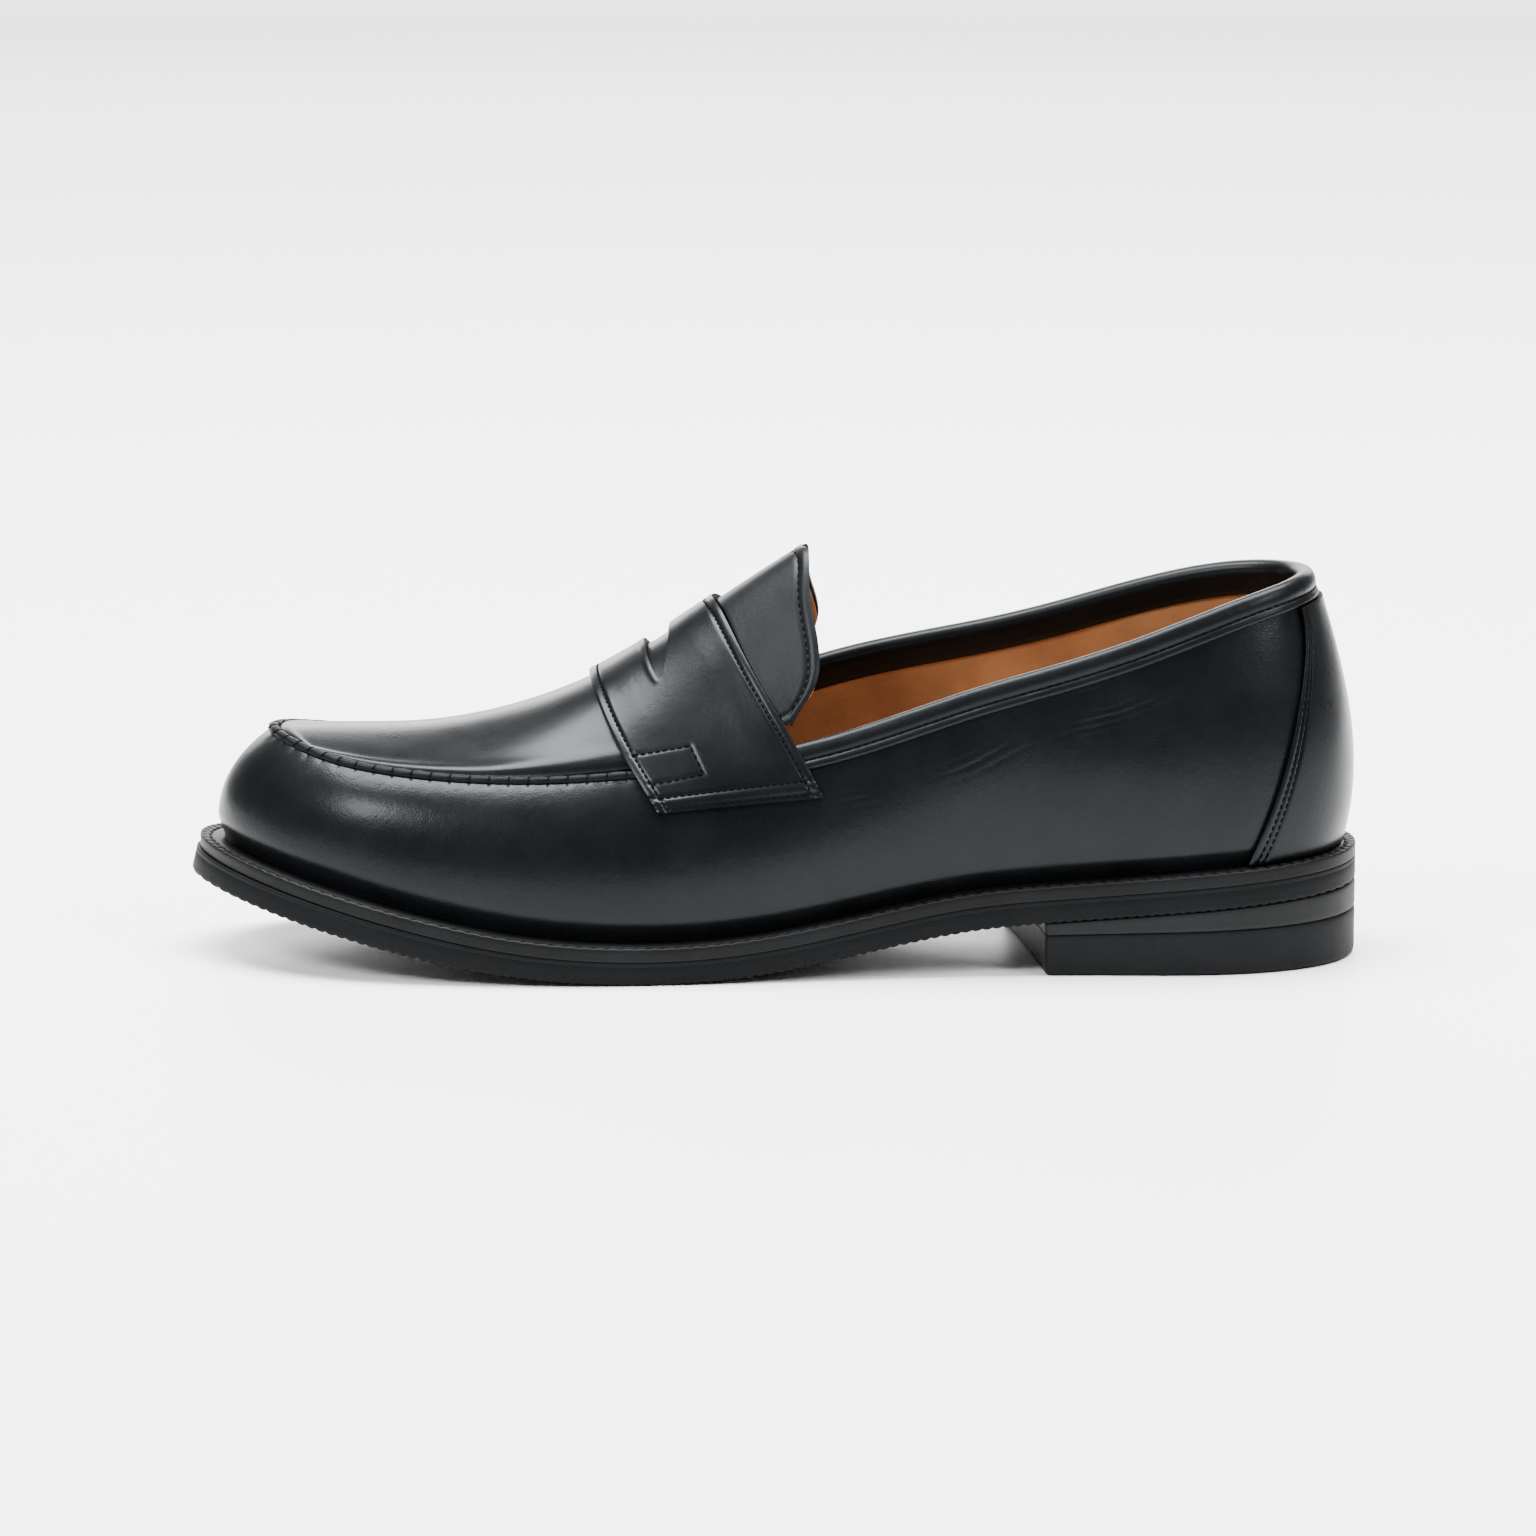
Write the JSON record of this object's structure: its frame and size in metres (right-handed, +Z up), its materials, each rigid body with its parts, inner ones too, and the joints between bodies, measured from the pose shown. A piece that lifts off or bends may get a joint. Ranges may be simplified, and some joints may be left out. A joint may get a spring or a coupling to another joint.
{
  "type": "penny loafer",
  "caption": "Left moccasin-toe slip-on shoe with a slotted saddle strap, bound topline, stitched welt and a low stacked heel.",
  "frame": {"origin": "middle of the footprint, on the ground", "axes": "+Z up, +X from the toe to the heel, -Y the lateral (outer) side of this left shoe"},
  "size_m": [0.2992, 0.1017, 0.1048],
  "materials": {
    "upper_leather": "smooth black calf, semi-gloss",
    "binding_leather": "soft black leather, satin",
    "tan_lining": "undyed tan lining leather, matt",
    "welt_rubber": "black welt, matt, wheeled",
    "outsole_rubber": "matt black rubber, fine ribs",
    "heel_rubber": "matt black rubber",
    "thread": "waxed black thread",
    "insole_board": "leather board",
    "cork": "granulated cork",
    "steel": "spring steel",
    "foam": "latex foam",
    "stiffener_board": "fibre board"
  },
  "bodies": {
    "root": {"outsole": "outsole_rubber", "welt": "welt_rubber", "insole_rib": "insole_board", "cork_filler": "cork", "shank_board": "insole_board", "shank": "steel", "insole": "insole_board", "heel_pad": "foam", "sock_liner": "tan_lining", "heel_lift": "heel_rubber", "heel_top_piece": "heel_rubber", "heel_nails": "steel", "vamp_wall": "upper_leather", "vamp_lining": "tan_lining", "quarter_lining": "tan_lining", "heel_stiffener": "stiffener_board", "toe_puff": "stiffener_board", "counter_cover": "upper_leather", "apron": "upper_leather", "apron_lining": "tan_lining", "saddle_strap": "upper_leather", "strap_backing": "upper_leather", "topline_binding": "binding_leather", "apron_seam": "upper_leather", "apron_stitches": "thread", "welt_thread": "thread"},
    "tongue": {"tongue": "upper_leather", "tongue_lining": "tan_lining"}
  },
  "joints": [
    {"name": "tongue_lift", "type": "hinge", "parent": "root", "child": "tongue", "pos_m": [-0.013, 0, 0.0906], "axis": [0, -1, 0], "range_deg": [0, 20], "stiffness_Nm_per_rad": 0.02}
  ]
}
